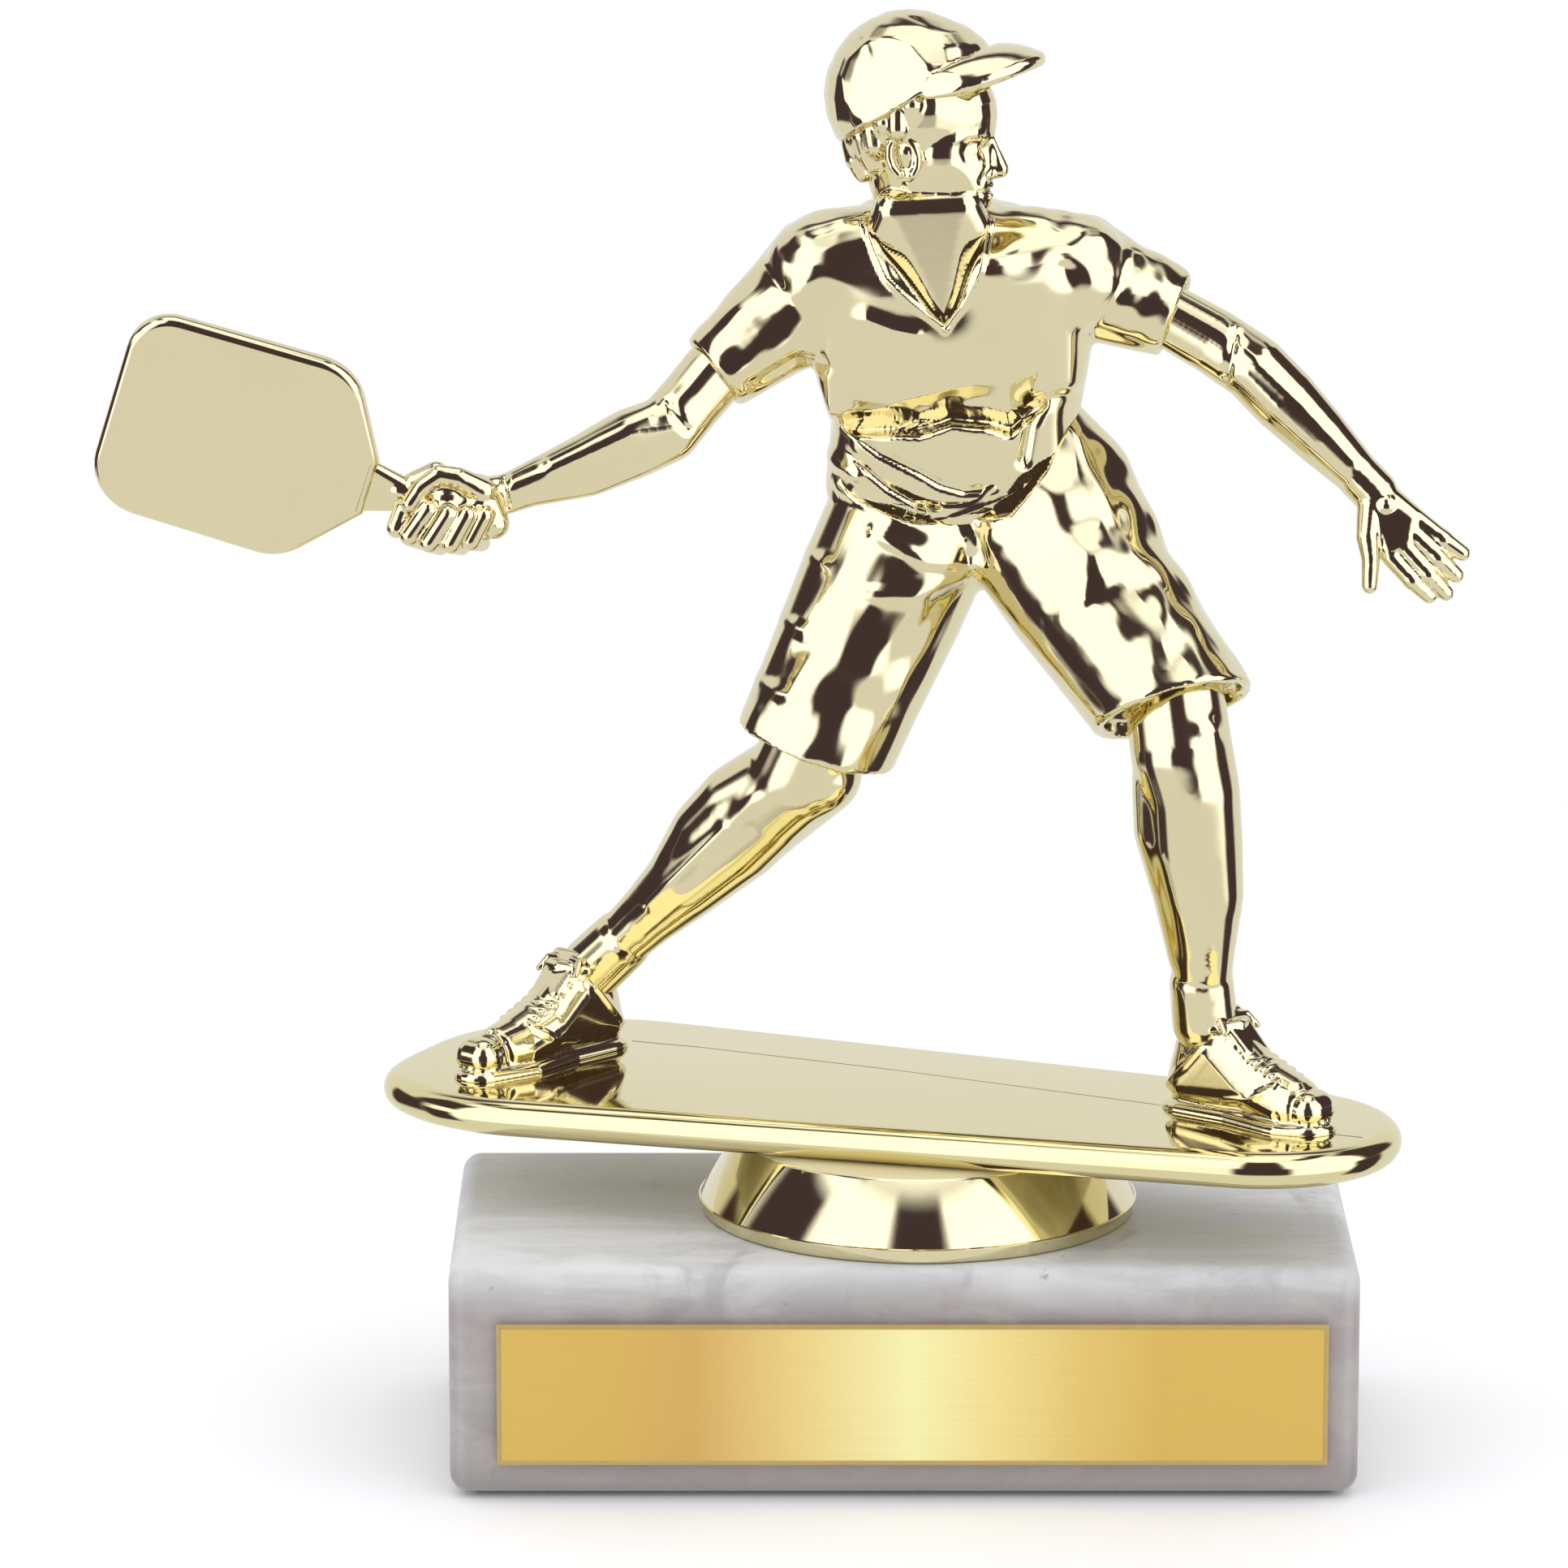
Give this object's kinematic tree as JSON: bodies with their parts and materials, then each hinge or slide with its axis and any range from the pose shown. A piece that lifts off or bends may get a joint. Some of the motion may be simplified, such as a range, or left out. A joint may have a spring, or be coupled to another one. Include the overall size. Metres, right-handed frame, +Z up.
{
  "type": "sports trophy",
  "caption": "Sports trophy: a gilt paddle player in cap, shirt and shorts on an oblong deck and conical riser, bolted to a marble block with a blank name plate.",
  "frame": {"origin": "middle of the underside, on the felt pad", "axes": "+Z up, -Y towards the viewer of the name plate, +X to that viewer's right"},
  "size_m": [0.1539, 0.066, 0.1646],
  "materials": {
    "marble": "polished",
    "felt": "matte",
    "tape": "matte",
    "plate": "satin gilt",
    "steel": "zinc plated",
    "brass": "machined",
    "gilt": "vacuum-metallised pale gold"
  },
  "bodies": {
    "base": {"marble_base": "marble", "base_pad": "felt", "plate_tape": "tape", "name_plate": "plate", "flat_washer": "steel"},
    "figure": {"riser": "gilt", "deck": "gilt", "threaded_insert": "brass", "tie_stud": "steel", "hex_nut": "steel", "lock_washer": "steel", "right_shoe": "gilt", "left_shoe": "gilt", "right_leg": "gilt", "left_leg": "gilt", "shorts": "gilt", "shirt": "gilt", "right_arm": "gilt", "left_arm": "gilt", "head": "gilt", "cap": "gilt", "paddle": "gilt"}
  },
  "joints": [
    {"name": "figure_turn", "type": "hinge", "parent": "base", "child": "figure", "pos_m": [0.0018, 0, 0.027], "axis": [0, 0, 1], "continuous": true}
  ]
}
